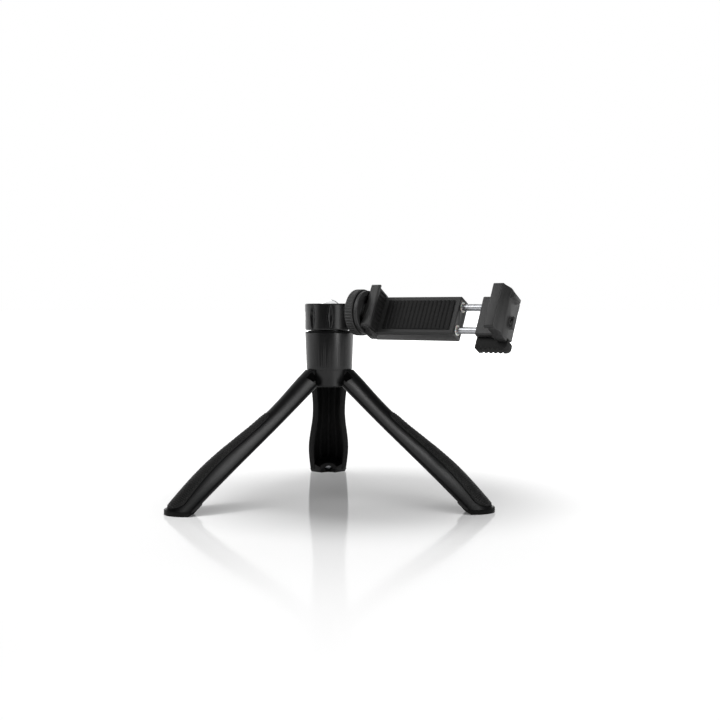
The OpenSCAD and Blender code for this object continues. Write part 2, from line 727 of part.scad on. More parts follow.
// Fixed jaw and the tray of the spine in one moulding
module clamp_frame() {
    color(black_matte) at_clamp() difference() {
        union() {
            translate([gap_x0, 0, 0]) mirror([1, 0, 0]) jaw_solid(lip_w - lip_over + pad_t / 10, 0);
            bar(jaw_x, spine_x1, spine_y0, spine_y1, spine_z0, spine_z1, bevel);
        }
        translate([cavity_x0, spine_y0 + tray_wall, spine_z0 + tray_wall])
            cube([cavity_x1 - cavity_x0, spine_t, spine_h - 2 * tray_wall]);
        translate([jaw_x - over, cavity_y1, spine_z0 + tray_wall])
            cube([spine_len + 2 * over, cover_t + over, spine_h - 2 * tray_wall]);
        for (z = rod_zs) translate([0, rod_y, z]) rod_x(bush_r, cavity_x1 - over, spine_x1 + over);
        rod_x(insert_r, jaw_x - over, wall_in_x + over);
        rod_x(insert_lip_r, wall_in_x - insert_lip_t, wall_in_x + over);
        for (p = screw_places) translate([p[0], 0, p[1]])
            rod_y_dir(cover_screw_r, cavity_y1 - cover_screw_len, cavity_y1 + over);
    }
}

// Brass threaded insert, pushed in from inside the jaw
module thread_insert() {
    color(brass_c) at_clamp() difference() {
        union() {
            rod_x(insert_r, jaw_x, wall_in_x);
            rod_x(insert_lip_r, wall_in_x - insert_lip_t, wall_in_x);
        }
        rod_x(thread_r + run_gap, jaw_x - over, wall_in_x + over);
    }
}

module fixed_jaw_pad() {
    color(rubber_black) at_clamp() translate([gap_x0, 0, 0]) mirror([1, 0, 0]) pad_solid();
}

module back_pad() {
    inset = spine_h * 0.12;
    x0 = gap_x0 + inset;
    x1 = spine_x1 - inset;
    color(rubber_black) at_clamp() difference() {
        translate([x0, back_y, spine_z0 + inset]) cube([x1 - x0, back_pad_t, spine_h - 2 * inset]);
        for (x = [x0 + groove_pitch : groove_pitch : x1 - groove_pitch])
            translate([x, back_y - over, spine_z0]) cube([groove_h, over + groove_in, spine_h]);
    }
}

module rear_cover() {
    color(black_matte) at_clamp() difference() {
        translate([jaw_x, cavity_y1, spine_z0 + tray_wall + seat_gap])
            cube([spine_len, cover_t, spine_h - 2 * tray_wall - 2 * seat_gap]);
        for (p = screw_places) translate([p[0], 0, p[1]]) {
            rod_y_dir(cover_screw_r + seat_gap, cavity_y1 - over, spine_y1 + over);
            rod_y_dir(cover_head_r + seat_gap, spine_y1 - cover_head_t, spine_y1 + over);
        }
    }
}

module cover_screws() {
    color(steel) at_clamp() for (p = screw_places) translate([p[0], 0, p[1]]) {
        rod_y_dir(cover_screw_r, cavity_y1 - cover_screw_len, spine_y1 - cover_head_t / 2);
        rod_y_dir(cover_head_r, spine_y1 - cover_head_t, spine_y1);
    }
}

module rod_bushes() {
    color(nylon) at_clamp() for (z = rod_zs) translate([0, rod_y, z]) difference() {
        rod_x(bush_r, cavity_x1, spine_x1);
        rod_x(bush_bore_r, cavity_x1 - over, spine_x1 + over);
    }
}

// Pull rods, fixed in the moving jaw
module pull_rods() {
    color(steel) at_clamp() for (z = rod_zs) translate([0, rod_y, z]) rod_x(rod_r, stop_x, rod_end_x);
}

// Stops at the rods' inner ends, which press the springs
module rod_stops() {
    color(steel) at_clamp() for (z = rod_zs) translate([0, rod_y, z]) difference() {
        rod_x(stop_r, stop_x, stop_x + stop_t);
        rod_x(rod_r, stop_x - over, stop_x + stop_t + over);
    }
}

// Points of one wire ring at a turn angle of the coil
function wire_ring(a, x, sides) = [for (k = [0:sides - 1]) let (r = spring_mean_r + wire_d / 2 * cos(360 * k / sides))
    [x + wire_d / 2 * sin(360 * k / sides), r * cos(a), r * sin(a)]];

// Coil spring along X, from 0 to len
module coil(len, turns) {
    sides = 6;
    rings = 8 * turns;
    rise = len - wire_d;
    points = [for (i = [0:rings]) each wire_ring(360 * turns * i / rings, wire_d / 2 + rise * i / rings, sides)];
    walls = [for (i = [0:rings - 1]) for (k = [0:sides - 1]) let (a = i * sides + k, b = i * sides + (k + 1) % sides)
        each [[a, b, b + sides], [a, b + sides, a + sides]]];
    ends = [[for (k = [sides - 1:-1:0]) k], [for (k = [0:sides - 1]) rings * sides + k]];
    polyhedron(points = points, faces = concat(walls, ends));
}

// Return springs round the rods, between the stops and the end wall
module return_springs() {
    echo("least gap between spring turns, mm", (spring_len - wire_d) / spring_turns - wire_d);
    color(steel) at_clamp() for (z = rod_zs) translate([spring_x0, rod_y, z]) coil(spring_len, spring_turns);
}

// Moving jaw with the carriage block that holds the rods
module moving_jaw() {
    color(black_matte) at_clamp() difference() {
        union() {
            translate([gap_x1, 0, 0]) jaw_solid(lip_w - lip_over + flare_w, flare_w);
            bar(carriage_x0, cheek_x1 - bevel, spine_y0, spine_y1, spine_z0, spine_z1, bevel);
            jaw_lugs();
        }
        for (z = rod_zs) translate([0, rod_y, z]) rod_x(rod_r, carriage_x0 - over, rod_end_x);
    }
}

// Two small lugs on the moving jaw's outer side
module jaw_lugs() {
    y1 = front_y + cheek_d + bevel;
    upper = jaw_z1 - jaw_h * 0.05;
    translate([0, y1, 0]) rotate([90, 0, 0]) linear_extrude(height = cheek_d * 0.6)
        polygon([[cheek_x1 - bevel, upper], [cheek_x1 + lug_out, upper - lug_out * 0.7],
                 [cheek_x1 + lug_out, upper - lug_out * 1.6], [cheek_x1 - bevel, upper - lug_out * 2]]);
    difference() {
        translate([cheek_x1 - bevel, y1 - cheek_d * 0.25, jaw_rise - jaw_h * 0.26])
            cube([bevel + lug_out, cheek_d * 0.25, jaw_h * 0.23]);
        translate([cheek_x1 + lug_out * 0.2, y1 - cheek_d, jaw_rise - jaw_h * 0.2])
            cube([lug_out * 0.45, cheek_d + over, jaw_h * 0.11]);
    }
}

module moving_jaw_pad() {
    color(rubber_black) at_clamp() translate([gap_x1, 0, 0]) pad_solid();
}

// Ribbed grip under the carriage, to pull the jaw open
module pull_grip() {
    x1 = cheek_x1;
    z0 = spine_z0 - pull_h;
    color(rubber_black) at_clamp() difference() {
        translate([0, spine_y1, 0]) rotate([90, 0, 0]) linear_extrude(height = spine_y1 - pull_y0) {
            translate([carriage_x0, z0]) square([x1 - pull_round - carriage_x0, pull_h]);
            translate([carriage_x0, z0 + pull_round]) square([x1 - carriage_x0, pull_h - 2 * pull_round]);
            for (z = [z0 + pull_round, spine_z0 - pull_round])
                translate([x1 - pull_round, z]) circle(pull_round, $fn = 32);
        }
        for (x = [carriage_x0 + pull_pitch : pull_pitch : x1 - pull_round])
            translate([x, 0, z0 - pull_notch_r * 0.25]) rod_y_dir(pull_notch_r, pull_y0 - over, spine_y1 + over);
    }
}

hub_body();
hinge_pins();
center_bolt();
ball_socket();
friction_cup();
leg_shell(left_a);  // left_leg_shell
leg_shell(right_a);  // right_leg_shell
leg_shell(back_a);  // back_leg_shell
leg_grip(left_a);  // left_leg_grip
leg_grip(right_a);  // right_leg_grip
leg_grip(back_a);  // back_leg_grip
leg_foot(left_a);  // left_leg_foot
leg_foot(right_a);  // right_leg_foot
leg_foot(back_a);  // back_leg_foot
foot_screw(left_a);  // left_foot_screw
foot_screw(right_a);  // right_foot_screw
foot_screw(back_a);  // back_foot_screw
locking_collar();
ball_stud();
thumb_wheel();
wheel_washer();
clamp_frame();
thread_insert();
fixed_jaw_pad();
back_pad();
rear_cover();
cover_screws();
rod_bushes();
pull_rods();
rod_stops();
return_springs();
moving_jaw();
moving_jaw_pad();
pull_grip();
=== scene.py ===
# Folding table tripod with a ball head and a spring-loaded clamp, dressed for a studio picture.
import json
import math

import bmesh
import bpy
from mathutils import Matrix, Vector


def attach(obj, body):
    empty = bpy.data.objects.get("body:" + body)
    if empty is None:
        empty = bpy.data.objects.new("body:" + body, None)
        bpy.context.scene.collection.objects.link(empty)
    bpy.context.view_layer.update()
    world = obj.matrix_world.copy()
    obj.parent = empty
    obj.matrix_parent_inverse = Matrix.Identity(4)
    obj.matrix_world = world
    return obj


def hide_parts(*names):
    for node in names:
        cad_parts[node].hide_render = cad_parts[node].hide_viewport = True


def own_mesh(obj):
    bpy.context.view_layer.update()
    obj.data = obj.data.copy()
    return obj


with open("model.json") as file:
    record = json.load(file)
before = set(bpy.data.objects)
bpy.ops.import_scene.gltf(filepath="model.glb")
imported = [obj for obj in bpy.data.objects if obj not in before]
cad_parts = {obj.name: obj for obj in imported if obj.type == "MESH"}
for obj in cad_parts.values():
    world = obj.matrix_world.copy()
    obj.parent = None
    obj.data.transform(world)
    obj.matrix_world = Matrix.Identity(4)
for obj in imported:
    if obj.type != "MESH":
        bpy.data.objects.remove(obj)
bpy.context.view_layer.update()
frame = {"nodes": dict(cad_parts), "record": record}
record = frame["record"]

# Sizes of the tripod in millimetres, as its parts have them
MM = 0.001
AXIS = (-5.9, -14.3)
LEG_LEN, OPEN_A, HINGE_R = 106.5, 49.8, 7.7
TOP_R, NECK_R, BULGE_R, END_R = 12.1, 10.7, 14.0, 12.2
NECK_S, BULGE_S = 34.0, 82.0
GRIP_TOP_S, GRIP_END_S, GRIP_TOP_R, GRIP_END_R, GRIP_PROUD = 37.0, 108.0, 3.9, 6.9, 0.35
SOLE_T, SEAM_A = 2.2, 0.75
RIM_OVER_HINGE, DRUM_H, DRUM_R, COLLAR_GAP, COLLAR_H, BALL_RISE = 0.85, 20.1, 13.1, 0.95, 14.2, 9.4
SCALLOPS, SCALLOP_A, SCALLOP_SKIP_A = 8, 271.8, 20
HINGE_Z = LEG_LEN * math.cos(math.radians(OPEN_A))
RIM_Z = HINGE_Z + RIM_OVER_HINGE
DRUM_TOP_Z = RIM_Z + DRUM_H
COLLAR_Z = DRUM_TOP_Z + COLLAR_GAP
BALL_Z = COLLAR_Z + BALL_RISE
HEAD_A, LEAN_A = -35.4, 27.5
LEGS = {"left": 210.0, "right": 330.0, "back": 90.0}
LEG_REACH = LEG_LEN + END_R


def turn(angle, axis):
    return Matrix.Rotation(math.radians(angle), 4, axis)


def shift(x, y, z):
    return Matrix.Translation((x, y, z))


def leg_place(angle):
    """Place of an open leg that is drawn folded, with its outer face along X."""
    return (shift(AXIS[0], AXIS[1], 0) @ turn(angle, "Z") @ shift(HINGE_R, 0, HINGE_Z)
            @ turn(-OPEN_A, "Y") @ shift(-HINGE_R, 0, -HINGE_Z))


AXIS_PLACE = shift(AXIS[0], AXIS[1], 0)
STUD_PLACE = shift(AXIS[0], AXIS[1], BALL_Z) @ turn(HEAD_A, "Z")
CLAMP_PLACE = STUD_PLACE @ turn(-LEAN_A, "X")


def ease(t):
    return (1 - math.cos(math.pi * min(1, max(0, t)))) / 2


def handle_r(s):
    """Outer radius of the folded handle, a distance s below the hub's rim."""
    if s < NECK_S:
        return TOP_R + (NECK_R - TOP_R) * ease(s / NECK_S)
    if s < BULGE_S:
        return NECK_R + (BULGE_R - NECK_R) * ease((s - NECK_S) / (BULGE_S - NECK_S))
    return BULGE_R + (END_R - BULGE_R) * ease((s - BULGE_S) / (LEG_REACH - BULGE_S))


def handle_slope(s):
    """Growth of the handle's radius per millimetre along it."""
    half_step = 0.5
    return handle_r(s + half_step) - handle_r(s - half_step)


def folded(p):
    """A point of a folded leg as its distance below the rim, its radius and its angle."""
    return RIM_Z - p.z, math.hypot(p.x, p.y), math.atan2(p.y, p.x)


# Shader maths


class Value:
    """A socket of a shader tree. Sums, products and differences from a number add Math nodes."""

    def __init__(self, finish, socket):
        self.finish, self.socket = finish, socket

    def _math(self, operation, first, second):
        return self.finish.add("ShaderNodeMath", {"operation": operation}, {0: first, 1: second})

    def __add__(self, other):
        return self._math("ADD", self, other)

    def __radd__(self, other):
        return self._math("ADD", other, self)

    def __rsub__(self, other):
        return self._math("SUBTRACT", other, self)

    def __mul__(self, other):
        return self._math("MULTIPLY", self, other)

    def __rmul__(self, other):
        return self._math("MULTIPLY", other, self)


class Finish:
    """A material under construction, with its Principled shader."""

    def __init__(self, name, **constants):
        self.material = bpy.data.materials.new(name)
        self.material.use_nodes = True
        self.tree = self.material.node_tree
        self.shader = self.tree.nodes["Principled BSDF"]
        for socket, value in constants.items():
            self.shader.inputs[socket.replace("_", " ")].default_value = value

    def add(self, kind, settings=None, inputs=None, output=0):
        """Adds a node: its settings first, then the values or links of its sockets."""
        node = self.tree.nodes.new(kind)
        for key, value in (settings or {}).items():
            if key == "stops":
                ramp = node.color_ramp
                while len(ramp.elements) < len(value):
                    ramp.elements.new(1.0)
                for element, (place, level) in zip(ramp.elements, value):
                    element.position, element.color = place, (level, level, level, 1)
            else:
                setattr(node, key, value)
        for key, value in (inputs or {}).items():
            if isinstance(value, Value):
                self.tree.links.new(value.socket, node.inputs[key])
            else:
                node.inputs[key].default_value = value
        return Value(self, node.outputs[output])

    def feed(self, socket, value):
        self.tree.links.new(value.socket, self.shader.inputs[socket])

    def place(self):
        return self.add("ShaderNodeTexCoord", output="Object")

    def noise(self, scale, detail=2.0, roughness=0.5):
        return self.add("ShaderNodeTexNoise", None,
                        {"Vector": self.place(), "Scale": scale, "Detail": detail, "Roughness": roughness})

    def cells(self, scale):
        return self.add("ShaderNodeTexVoronoi", None, {"Vector": self.place(), "Scale": scale})

    def ramp(self, value, *stops):
        return self.add("ShaderNodeValToRGB", {"stops": stops}, {0: value})

    def mix(self, factor, first, second):
        """A colour between two colours, each with its alpha."""
        return self.add("ShaderNodeMix", {"data_type": "RGBA"}, {0: factor, 6: first, 7: second}, output=2)

    def bump(self, height, distance, edge=0.0):
        """Feeds small relief to the normal, over edges that look rounded by a radius in millimetres."""
        inputs = {"Strength": 1.0, "Distance": distance * MM, "Height": height}
        if edge:
            inputs["Normal"] = self.add("ShaderNodeBevel", {"samples": 6}, {"Radius": edge * MM})
        self.feed("Normal", self.add("ShaderNodeBump", None, inputs))


def grey(level, tint=1.0):
    return (level, level, level * tint, 1)


def satin_black(name, roughness=0.26, shine=0.38, edge=0.25):
    """Moulded black plastic with a soft gloss, faint flow marks and handling haze."""
    f = Finish(name, Specular_IOR_Level=shine)
    haze = f.ramp(f.noise(55, 4, 0.6), (0.35, 0), (0.7, 1))
    grain = f.noise(2600, 3, 0.6)
    f.feed("Base Color", f.mix(haze, grey(0.0042, 1.06), grey(0.0062, 1.04)))
    f.feed("Roughness", roughness + 0.05 * haze + 0.05 * grain)
    f.bump(grain, 0.012, edge)
    return f.material


def dull_shaded_black(name):
    """The unpolished inside of a moulding: matte, and darker in colour as painted shade."""
    f = Finish(name, Specular_IOR_Level=0.05)
    cloud = f.noise(420, 3, 0.6)
    f.feed("Base Color", f.mix(cloud, grey(0.0016), grey(0.0036)))
    f.feed("Roughness", 0.55 + 0.15 * cloud)
    f.bump(cloud, 0.02)
    return f.material


def grained_black(name, base=0.012, roughness=0.42):
    """Black plastic from a spark-eroded mould: a fine even grain."""
    f = Finish(name, Specular_IOR_Level=0.45)
    grain = f.cells(3800)
    fine = f.noise(5200, 2, 0.6)
    haze = f.noise(70, 3, 0.6)
    f.feed("Base Color", f.mix(haze, grey(base * 0.85), grey(base * 1.25)))
    f.feed("Roughness", roughness + 0.1 * fine + 0.04 * haze)
    f.bump(grain + 0.5 * fine, 0.03, 0.2)
    return f.material


def black_rubber(name, base=0.005, roughness=0.6, shine=0.22):
    f = Finish(name, Specular_IOR_Level=shine)
    dust = f.ramp(f.noise(160, 5, 0.65), (0.45, 0), (0.75, 1))
    grain = f.noise(3000, 3, 0.7)
    f.feed("Base Color", f.mix(dust, grey(base), grey(base * 1.8, 0.97)))
    f.feed("Roughness", roughness + 0.1 * grain + 0.05 * dust)
    f.bump(grain, 0.03)
    return f.material


def turned_metal(name, colour, roughness):
    """Metal with the fine rings of a lathe tool and faint handling marks."""
    f = Finish(name, Metallic=1.0)
    rings = f.noise(2200, 1, 0.3)
    marks = f.noise(180, 4, 0.6)
    dark = tuple(0.8 * c for c in colour[:3]) + (1,)
    f.feed("Base Color", f.mix(marks, dark, colour))
    f.feed("Roughness", roughness + 0.12 * rings + 0.08 * marks)
    f.bump(rings, 0.004)
    return f.material


def natural_nylon(name):
    f = Finish(name, Subsurface_Weight=0.2, Subsurface_Scale=0.001)
    cloud = f.noise(240, 3, 0.5)
    f.feed("Base Color", f.mix(cloud, (0.68, 0.67, 0.6, 1), (0.8, 0.79, 0.74, 1)))
    f.feed("Roughness", 0.42 + 0.12 * cloud)
    f.bump(cloud, 0.01)
    return f.material


FINISH = {
    "black_gloss": satin_black("satin black plastic"),
    "black_matte": grained_black("grained black plastic"),
    "rubber_black": black_rubber("black rubber"),
    "grip_rubber": black_rubber("grip rubber", 0.02, 0.38, 0.7),
    # Painted shade: the same grip rubber, darker and duller between the studs than on them
    "groove": black_rubber("grip rubber between the studs, darkened as painted shade", 0.011, 0.6, 0.4),
    # The dull finish: matte plastic whose darker colour is painted shade, on the shell insides and the back leg's
    # side walls
    "inside": dull_shaded_black("dull black plastic with painted shade"),
    "steel": turned_metal("turned steel", (0.56, 0.57, 0.59, 1), 0.26),
    "black_metal": satin_black("black coated metal", 0.34),
    "chrome": turned_metal("polished plating", (0.9, 0.905, 0.91, 1), 0.09),
    "brass": turned_metal("turned brass", (0.5, 0.37, 0.17, 1), 0.3),
    "nylon": natural_nylon("natural nylon"),
}
SLOT = {row["node"]: row["material_slot"] for row in record["subparts"]}
BODY = {node: body for body, nodes in record["behaviour"]["bodies"].items() for node in nodes}
RIDERS = {body: [frame["nodes"][node] for node in nodes] for body, nodes in record["behaviour"]["bodies"].items()}


# Making pieces

# Points nearer than this are one, in millimetres
SAME_POINT = 0.002


def placed(name, data):
    """A new object in the scene."""
    obj = bpy.data.objects.new(name, data)
    bpy.context.scene.collection.objects.link(obj)
    return obj


def finished(name, mesh, body, slot, nodes=()):
    """Puts a finished mesh in the scene on its body, in place of its CAD nodes."""
    piece = placed(name, mesh)
    if not mesh.materials:
        mesh.materials.append(FINISH[slot])
    if nodes:
        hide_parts(*nodes)
    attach(piece, body)
    RIDERS[body].append(piece)
    return piece


def settled(piece):
    """The mesh of a piece with its modifiers done, and the piece taken away."""
    depsgraph = bpy.context.evaluated_depsgraph_get()
    mesh = bpy.data.meshes.new_from_object(piece.evaluated_get(depsgraph))
    bpy.data.objects.remove(piece)
    return mesh


def soften(mesh, width):
    """Rounds the sharp edges of a mesh by a width in millimetres and smooths its curved faces."""
    rounded_a, sharp_a = 32, 40
    piece = placed("work", mesh)
    mesh.shade_smooth()
    bevel = piece.modifiers.new("edge", "BEVEL")
    bevel.width = width * MM
    bevel.segments = 2
    bevel.limit_method = "ANGLE"
    bevel.angle_limit = math.radians(rounded_a)
    bevel.miter_outer = "MITER_ARC"
    bevel.use_clamp_overlap = True
    result = settled(piece)
    result.set_sharp_from_angle(angle=math.radians(sharp_a))
    return result


def released(form, name):
    """The mesh of a bmesh form, which is freed."""
    mesh = bpy.data.meshes.new(name)
    form.to_mesh(mesh)
    form.free()
    return mesh


def skin(form, rings, closed=False):
    """Faces between neighbouring rings of a form, and from the last ring to the first where it is closed."""
    for low, high in zip(rings, rings[1:] + rings[:1] if closed else rings[1:]):
        for k in range(len(low)):
            n = (k + 1) % len(low)
            form.faces.new((low[k], low[n], high[n], high[k]))


def clean_copy(node):
    """The mesh of a CAD node with its loose triangles joined into faces."""
    thin, flat_a = 0.001, 0.4
    form = bmesh.new()
    form.from_mesh(frame["nodes"][node].data)
    bmesh.ops.remove_doubles(form, verts=form.verts, dist=SAME_POINT * MM)
    bmesh.ops.dissolve_degenerate(form, edges=form.edges, dist=thin * MM)
    bmesh.ops.dissolve_limit(form, angle_limit=math.radians(flat_a), verts=form.verts, edges=form.edges)
    mesh = released(form, node + "_mesh")
    mesh.materials.clear()
    return mesh


def dress(node, width, finish=None):
    """A CAD node with rounded edges and smooth curves, in its own finish."""
    mesh = clean_copy(node)
    if node == "locking_collar":
        mesh = hollowed(mesh)
    mesh = soften(mesh, width)
    if node == "clamp_frame":
        mesh = lip_filled(mesh)
    if finish:
        mesh.materials.append(FINISH[finish])
    return finished(node + "_dressed", mesh, BODY[node], SLOT[node], [node])


def hollow(form, place):
    """One finger hollow as a closed form: a shallow lens that is tall, blunt at its ends and open outwards."""
    end_gap, wide, deep, blunt, least = 0.55, 1.55, 0.95, 2.6, 0.0004
    high, out_x, out_share, rows, steps = COLLAR_H / 2 - end_gap, DRUM_R + 1, 1.6, 16, 6
    rings = []
    for k in range(-rows, rows + 1):
        z = high * math.sin(math.pi / 2 * k / rows)
        part = math.sqrt(max(least, 1 - abs(z / high) ** blunt))
        w, d = wide * part, deep * part
        section = [(out_x, -out_share * w)]
        section += [(DRUM_R - d * (1 - (t / steps) ** 2), w * t / steps) for t in range(-steps, steps + 1)]
        section += [(out_x, out_share * w)]
        rings.append([form.verts.new(place @ Vector((x, y, z)) * MM) for x, y in section])
    skin(form, rings)
    form.faces.new(reversed(rings[0]))
    form.faces.new(rings[-1])


def hollowed(mesh):
    """The collar with each finger hollow run out to its full height."""
    form = bmesh.new()
    for i in range(SCALLOPS):
        a = SCALLOP_A + i * 360 / SCALLOPS
        if abs(((a - HEAD_A) % 360 + 540) % 360 - 180) > SCALLOP_SKIP_A:
            hollow(form, shift(AXIS[0], AXIS[1], COLLAR_Z + COLLAR_H / 2) @ turn(a, "Z"))
    bmesh.ops.recalc_face_normals(form, faces=form.faces)
    piece, cutter = placed("work", mesh), placed("cutter", released(form, "finger hollows"))
    cut = piece.modifiers.new("hollows", "BOOLEAN")
    cut.operation, cut.solver, cut.object = "DIFFERENCE", "EXACT", cutter
    result = settled(piece)
    bpy.data.objects.remove(cutter)
    return result


# The fixed jaw's wall: its inner face and its front face, in the clamp's place
WALL_IN_X, FRONT_Y = 29.1, -5.2


def lip_filled(mesh):
    """The clamp's frame with its lip whole in front of the thread insert's flange."""
    form = bmesh.new()
    form.from_mesh(mesh)
    inner, outer, proud, deep, z1 = 0.84, 1.02, 0.006, 0.12, 1.6
    x0, x1 = WALL_IN_X - inner, WALL_IN_X + outer
    front, behind = ([form.verts.new(CLAMP_PLACE @ Vector((x, y, z)) * MM)
                      for x, z in ((x0, -z1), (x1, -z1), (x1, z1), (x0, z1))]
                     for y in (FRONT_Y - proud, FRONT_Y + deep))
    form.faces.new(front)
    form.faces.new(reversed(behind))
    skin(form, [behind, front])
    form.to_mesh(mesh)
    form.free()
    return mesh


# Nodes whose shape is right keep it, with their finish
for name, node in frame["nodes"].items():
    node.data.materials.clear()
    node.data.materials.append(FINISH[SLOT[name]])

# Rounded edges, in millimetres
LEG_GRIPS = {side + "_leg_grip" for side in LEGS}
EDGES = {
    "hub_body": 0.08, "locking_collar": 0.2, "thumb_wheel": 0.12, "clamp_frame": 0.3, "rear_cover": 0.2,
    "moving_jaw": 0.3, "moving_jaw_pad": 0.12, "fixed_jaw_pad": 0.12, "back_pad": 0.15, "pull_grip": 0.2,
    "wheel_washer": 0.05,
    "left_leg_foot": 0.2, "right_leg_foot": 0.2, "back_leg_foot": 0.2,
    "left_leg_grip": 0.1, "right_leg_grip": 0.1, "back_leg_grip": 0.1,
}
for name, width in EDGES.items():
    # The grips' base between the studs takes the darker painted-shade copy of the grip rubber
    dress(name, width, "groove" if name in LEG_GRIPS else None)


# Leg shells: ridges that turn softly from the side wall to the outer wall, and a dull inside darkened as painted
# shade; the back leg's side walls take the same painted shade

SECTOR_HALF, ROUND_SIDE, ROUND_OUT, STRIP = math.radians(60 - SEAM_A), 2.4, 1.3, 2.5
SIDE_SHARE, OUTER_SHARE, SKIN_T, DULL_FROM_S, ROUNDED_FROM_S = 0.97, 0.8, 0.3, 6, 9


def side_wall_way(phi):
    """The way that the side wall looks on the side of an angle."""
    return Vector((-math.sin(SECTOR_HALF), math.copysign(math.cos(SECTOR_HALF), phi), 0))


def shell_normal(p, kind):
    """The way that a shell's skin looks at a point of the folded leg, rounded about its two ridges."""
    s, r, phi = folded(p)
    outer = Vector((math.cos(phi), math.sin(phi), handle_slope(s))).normalized()
    side = side_wall_way(phi)
    if kind == "side":
        part = 0.5 * (1 - min(1, max(0, (handle_r(s) - r) / ROUND_SIDE)))
    else:
        part = 0.5 + 0.5 * min(1, max(0, (SECTOR_HALF - abs(phi)) * r / ROUND_OUT))
    return (side * math.cos(part * math.pi / 2) + outer * math.sin(part * math.pi / 2)).normalized()


def shell_kind(p, n):
    """What a face of the folded leg belongs to: its side wall, its outer wall or its inside."""
    s, r, phi = folded(p)
    if n.dot(side_wall_way(phi)) > SIDE_SHARE:
        return "side"
    if s > 0 and n.dot(Vector((math.cos(phi), math.sin(phi), 0))) > OUTER_SHARE and r > handle_r(s) - SKIN_T:
        return "outer"
    return "inside"


def dress_shell(side, place):
    """A leg shell cut into short strips, so that its ridges can turn softly, with a dull inside darkened as painted
    shade; the back leg's side walls take the same painted shade.
    """
    node, sharp_a = side + "_leg_shell", 35
    home = place.inverted()
    form = bmesh.new()
    form.from_mesh(clean_copy(node))
    for k in range(1, int(LEG_REACH / STRIP)):
        bmesh.ops.bisect_plane(form, geom=form.verts[:] + form.edges[:] + form.faces[:], dist=SAME_POINT * MM,
                               plane_co=place @ Vector((0, 0, RIM_Z - k * STRIP)) * MM,
                               plane_no=place.to_3x3() @ Vector((0, 0, 1)))
    mesh = released(form, node + "_skin")
    mesh.materials.append(FINISH[SLOT[node]])
    mesh.materials.append(FINISH["inside"])
    mesh.shade_smooth()
    mesh.set_sharp_from_angle(angle=math.radians(sharp_a))
    ways = [corner.vector.copy() for corner in mesh.corner_normals]
    for face in mesh.polygons:
        p = home @ (face.center / MM)
        s, kind = folded(p)[0], shell_kind(p, home.to_3x3() @ face.normal)
        # Painted shade: the inside, and the side walls of the back leg alone, take the darker dull finish
        if kind == "inside" and s > DULL_FROM_S or kind == "side" and side == "back":
            face.material_index = 1
        if kind != "inside" and s > ROUNDED_FROM_S:
            for loop in face.loop_indices:
                v = home @ (mesh.vertices[mesh.loops[loop].vertex_index].co / MM)
                ways[loop] = place.to_3x3() @ shell_normal(v, kind)
    mesh.normals_split_custom_set(ways)
    finished(node + "_dressed", mesh, BODY[node], SLOT[node], [node])


for side, angle in LEGS.items():
    dress_shell(side, leg_place(angle))


# Grip cells: low six-sided studs in a honeycomb over each rubber grip

CELL_PITCH, CELL_R, CELL_TOP_SHARE, CELL_H = 1.25, 0.6, 0.72, 0.34
CELL_BORDER, CELL_END_SHARE, CELLS_EACH_WAY = 0.12, 0.7, 8


def grip_half_width(s):
    """Half the width of a grip at a distance s below the rim: round ends and the tangents between them."""
    s0, s1 = GRIP_TOP_S + GRIP_TOP_R, GRIP_END_S - GRIP_END_R
    lean = math.asin((GRIP_END_R - GRIP_TOP_R) / (s1 - s0))
    first, last = s0 - GRIP_TOP_R * math.sin(lean), s1 - GRIP_END_R * math.sin(lean)
    if s < first:
        return math.sqrt(max(0, GRIP_TOP_R ** 2 - (s0 - s) ** 2))
    if s > last:
        return math.sqrt(max(0, GRIP_END_R ** 2 - (s - s1) ** 2))
    return (GRIP_TOP_R + (s - first) / (last - first) * (GRIP_END_R - GRIP_TOP_R)) * math.cos(lean)


def grip_points(place):
    """Cell centres on a grip's outer face, with the way that each looks and the way along the leg."""
    points, ways, alongs = [], [], []
    row, s = 0, GRIP_TOP_S + CELL_PITCH
    while s < GRIP_END_S - CELL_PITCH * CELL_END_SHARE:
        radius = handle_r(s) + GRIP_PROUD
        side = CELL_PITCH / 2 if row % 2 else 0.0
        for k in range(-CELLS_EACH_WAY, CELLS_EACH_WAY + 1):
            angle = (k * CELL_PITCH + side) / radius
            if abs(radius * math.sin(angle)) > grip_half_width(s) - CELL_R - CELL_BORDER:
                continue
            point = Vector((radius * math.cos(angle), radius * math.sin(angle), RIM_Z - s))
            way = Vector((math.cos(angle), math.sin(angle), handle_slope(s))).normalized()
            if (place @ point).z < SOLE_T + CELL_PITCH:
                continue
            points.append(place @ point)
            ways.append(place.to_3x3() @ way)
            alongs.append(place.to_3x3() @ Vector((0, 0, -1)))
        s += CELL_PITCH * math.sqrt(3) / 2
        row += 1
    return points, ways, alongs


STUD_SIZES = {"Stud radius": CELL_R, "Top radius": CELL_R * CELL_TOP_SHARE, "Stud height": CELL_H}


